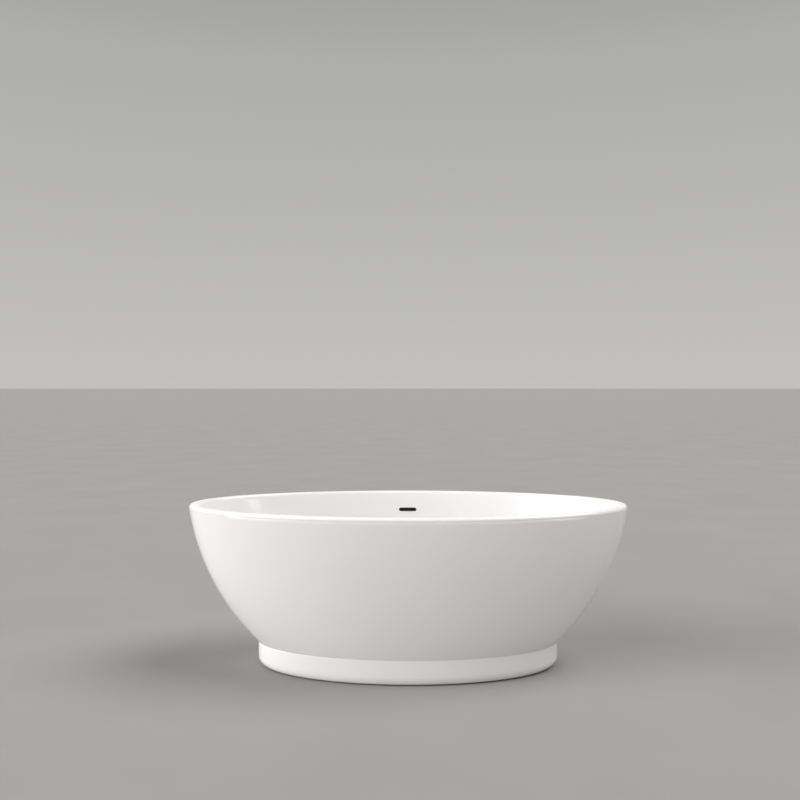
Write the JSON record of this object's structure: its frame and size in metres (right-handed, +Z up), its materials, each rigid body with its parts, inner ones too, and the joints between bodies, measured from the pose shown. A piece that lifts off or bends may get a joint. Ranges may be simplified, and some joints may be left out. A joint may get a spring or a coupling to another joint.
{
  "type": "freestanding bathtub",
  "caption": "Oval double-ended freestanding bathtub in gloss white acrylic, bowl-shaped sides on a recessed plinth band, flat rim, slotted overflow, click waste and levelling feet.",
  "frame": {"origin": "centre of the footprint on the floor, under the waste", "axes": "+X along the length, +Y across the width towards the overflow side, +Z up"},
  "size_m": [1.6, 0.75, 0.59],
  "materials": {
    "acrylic": "high-gloss white sanitary acrylic",
    "black_plastic": "black moulded plastic",
    "grey_plastic": "grey moulded waste fitting",
    "hose": "corrugated flexible hose",
    "chrome": "polished chrome plate",
    "steel": "grey powder-coated square tube",
    "zinc": "zinc-plated fixings",
    "rubber": "black rubber seal",
    "rubber_pad": "moulded rubber foot pad",
    "wood": "resin-sealed plywood"
  },
  "bodies": {
    "tub": {"basin_shell": "acrylic", "outer_shell": "acrylic", "plinth_band": "acrylic", "rim_stiffener": "wood", "base_board": "wood", "rail_front": "steel", "rail_back": "steel", "cross_left": "steel", "cross_right": "steel", "board_screws": "zinc", "frame_bolts": "zinc", "frame_nuts": "zinc", "plinth_blocks": "wood", "block_screws": "zinc", "plinth_screws": "zinc", "overflow_liner": "black_plastic", "overflow_gasket": "rubber", "overflow_housing": "grey_plastic", "overflow_hose": "hose", "hose_clamp_top": "zinc", "hose_clamp_bottom": "zinc", "drain_flange": "chrome", "drain_gasket": "rubber", "drain_nut": "grey_plastic", "drain_tee": "grey_plastic", "tee_seal": "rubber", "plug_guide": "grey_plastic", "foot_nuts": "zinc", "foot_lock_nuts": "zinc"},
    "plug": {"plug_post": "chrome", "plug_seal": "rubber", "plug_cap": "chrome"},
    "foot_1": {"foot_rod_1": "zinc", "foot_pad_1": "rubber_pad"},
    "foot_2": {"foot_rod_2": "zinc", "foot_pad_2": "rubber_pad"},
    "foot_3": {"foot_rod_3": "zinc", "foot_pad_3": "rubber_pad"},
    "foot_4": {"foot_rod_4": "zinc", "foot_pad_4": "rubber_pad"}
  },
  "joints": [
    {"name": "plug_lift", "type": "slide", "parent": "tub", "child": "plug", "axis": [0, 0, 1], "range_m": [0, 0.009]},
    {"name": "foot_1_height", "type": "slide", "parent": "tub", "child": "foot_1", "axis": [0, 0, -1], "range_m": [-0.003, 0.015]},
    {"name": "foot_2_height", "type": "slide", "parent": "tub", "child": "foot_2", "axis": [0, 0, -1], "range_m": [-0.003, 0.015]},
    {"name": "foot_3_height", "type": "slide", "parent": "tub", "child": "foot_3", "axis": [0, 0, -1], "range_m": [-0.003, 0.015]},
    {"name": "foot_4_height", "type": "slide", "parent": "tub", "child": "foot_4", "axis": [0, 0, -1], "range_m": [-0.003, 0.015]}
  ]
}
